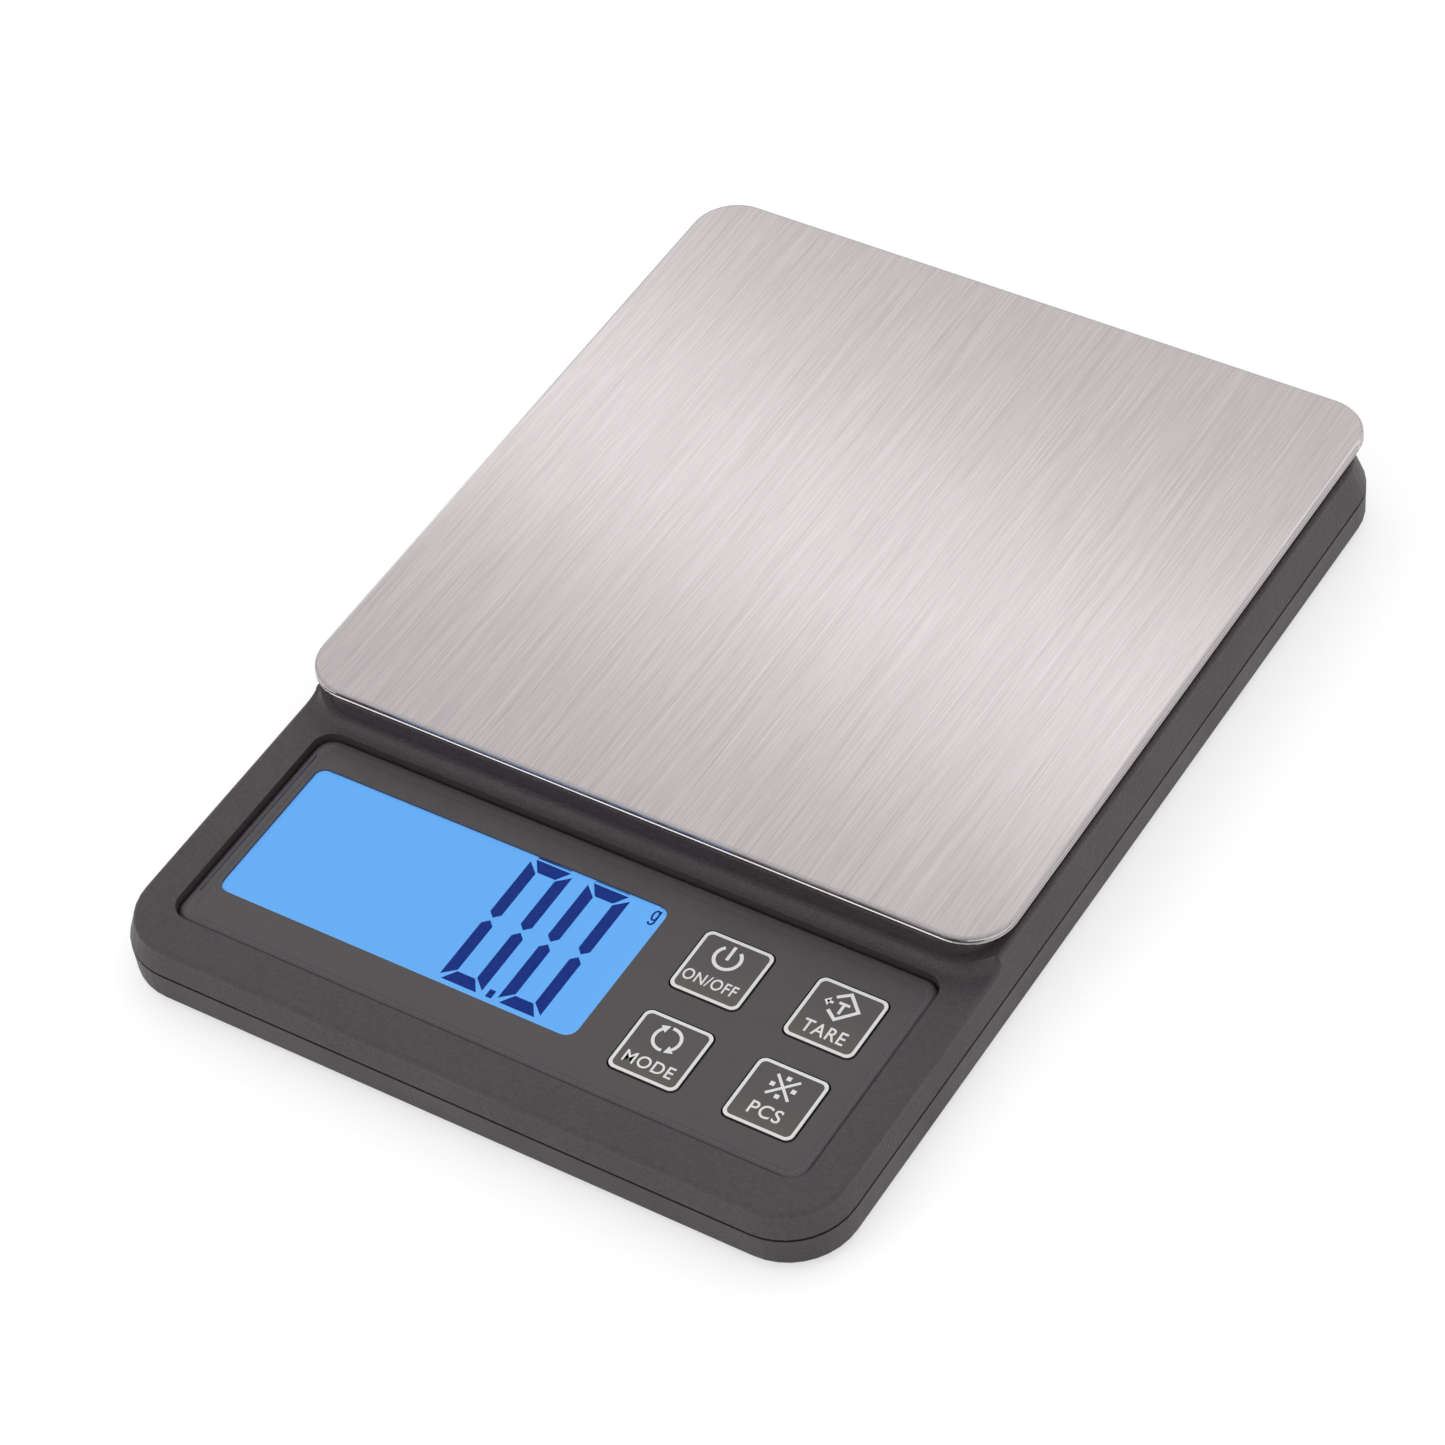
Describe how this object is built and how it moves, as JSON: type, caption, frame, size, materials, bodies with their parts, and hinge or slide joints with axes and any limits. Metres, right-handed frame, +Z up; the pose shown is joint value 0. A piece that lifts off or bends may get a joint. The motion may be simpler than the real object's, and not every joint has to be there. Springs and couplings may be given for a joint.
{
  "type": "digital gram scale",
  "caption": "Slim battery-powered bench scale with a square brushed-steel weighing plate and a lit display with push keys on its low front deck.",
  "frame": {"origin": "centre of the footprint, on the surface that the rubber feet stand on", "axes": "+X to the user's right, -Y the display end, +Y the back, +Z up"},
  "size_m": [0.1322, 0.1872, 0.019],
  "materials": {
    "case_plastic": "charcoal ABS with a fine leather-like grain",
    "plate_steel": "stainless sheet brushed front to back",
    "overlay_film": "satin charcoal printed film",
    "key_film": "slightly glossy charcoal key film with pale printing",
    "clear_window": "clear polished window",
    "lcd_blue": "blue lit liquid crystal display",
    "backlight_diffuser": "milky light guide",
    "beam_aluminium": "milled",
    "plated_steel": "bright zinc plate",
    "black_plastic": "moulded",
    "black_rubber": "matt",
    "foam_tape": "closed-cell double-sided foam",
    "board_green": "green solder mask",
    "gauge_resin": "white silicone coating",
    "battery_sleeve": "printed sleeve on a steel can",
    "nickel_plate": "nickel-plated spring steel",
    "wire_red": "insulation",
    "wire_black": "insulation",
    "wire_green": "insulation",
    "wire_white": "insulation"
  },
  "bodies": {
    "base": {"base_shell": "case_plastic", "battery_1": "battery_sleeve", "battery_2": "battery_sleeve", "battery_wire_black": "wire_black", "battery_wire_red": "wire_red", "board_screw_1": "plated_steel", "board_screw_2": "plated_steel", "board_screw_3": "plated_steel", "case_screw_1": "plated_steel", "case_screw_2": "plated_steel", "case_screw_3": "plated_steel", "case_screw_4": "plated_steel", "cell_screw_fixed_1": "plated_steel", "cell_screw_fixed_2": "plated_steel", "cell_wire_black": "wire_black", "cell_wire_green": "wire_green", "cell_wire_red": "wire_red", "cell_wire_white": "wire_white", "contact_bridge": "nickel_plate", "contact_negative": "nickel_plate", "contact_positive": "nickel_plate", "controller_chip": "black_plastic", "display_window": "clear_window", "foot_1": "black_rubber", "foot_2": "black_rubber", "foot_3": "black_rubber", "foot_4": "black_rubber", "lcd_backlight": "backlight_diffuser", "lcd_contact_strip": "black_rubber", "lcd_glass": "lcd_blue", "load_cell": "beam_aluminium", "main_board": "board_green", "overlay_panel": "overlay_film", "panel_bezel": "case_plastic", "spacer_fixed": "plated_steel", "spring_bridge": "nickel_plate", "spring_negative": "nickel_plate", "strain_gauge_bottom": "gauge_resin", "strain_gauge_top": "gauge_resin", "switch_mode": "black_plastic", "switch_pcs": "black_plastic", "switch_power": "black_plastic", "switch_tare": "black_plastic", "top_shell": "case_plastic"},
    "platform": {"weighing_plate": "plate_steel", "foam_tape_left": "foam_tape", "foam_tape_right": "foam_tape", "plate_carrier": "black_plastic", "spacer_live": "plated_steel", "cell_screw_live_1": "plated_steel", "cell_screw_live_2": "plated_steel"},
    "key_power": {"key_power": "key_film", "plunger_power": "black_rubber"},
    "key_tare": {"key_tare": "key_film", "plunger_tare": "black_rubber"},
    "key_mode": {"key_mode": "key_film", "plunger_mode": "black_rubber"},
    "key_pcs": {"key_pcs": "key_film", "plunger_pcs": "black_rubber"},
    "battery_door": {"battery_door": "case_plastic"}
  },
  "joints": [
    {"name": "plate_press", "type": "slide", "parent": "base", "child": "platform", "axis": [0, 0, -1], "range_m": [0, 0.0005], "stiffness_N_per_m": 60000, "deforming": ["load_cell"]},
    {"name": "key_power_press", "type": "slide", "parent": "base", "child": "key_power", "axis": [0, 0, -1], "range_m": [0, 0.00025], "stiffness_N_per_m": 6000},
    {"name": "key_tare_press", "type": "slide", "parent": "base", "child": "key_tare", "axis": [0, 0, -1], "range_m": [0, 0.00025], "stiffness_N_per_m": 6000},
    {"name": "key_mode_press", "type": "slide", "parent": "base", "child": "key_mode", "axis": [0, 0, -1], "range_m": [0, 0.00025], "stiffness_N_per_m": 6000},
    {"name": "key_pcs_press", "type": "slide", "parent": "base", "child": "key_pcs", "axis": [0, 0, -1], "range_m": [0, 0.00025], "stiffness_N_per_m": 6000},
    {"name": "battery_door_lift", "type": "slide", "parent": "base", "child": "battery_door", "axis": [0, 0, -1], "range_m": [0, 0.02]}
  ]
}
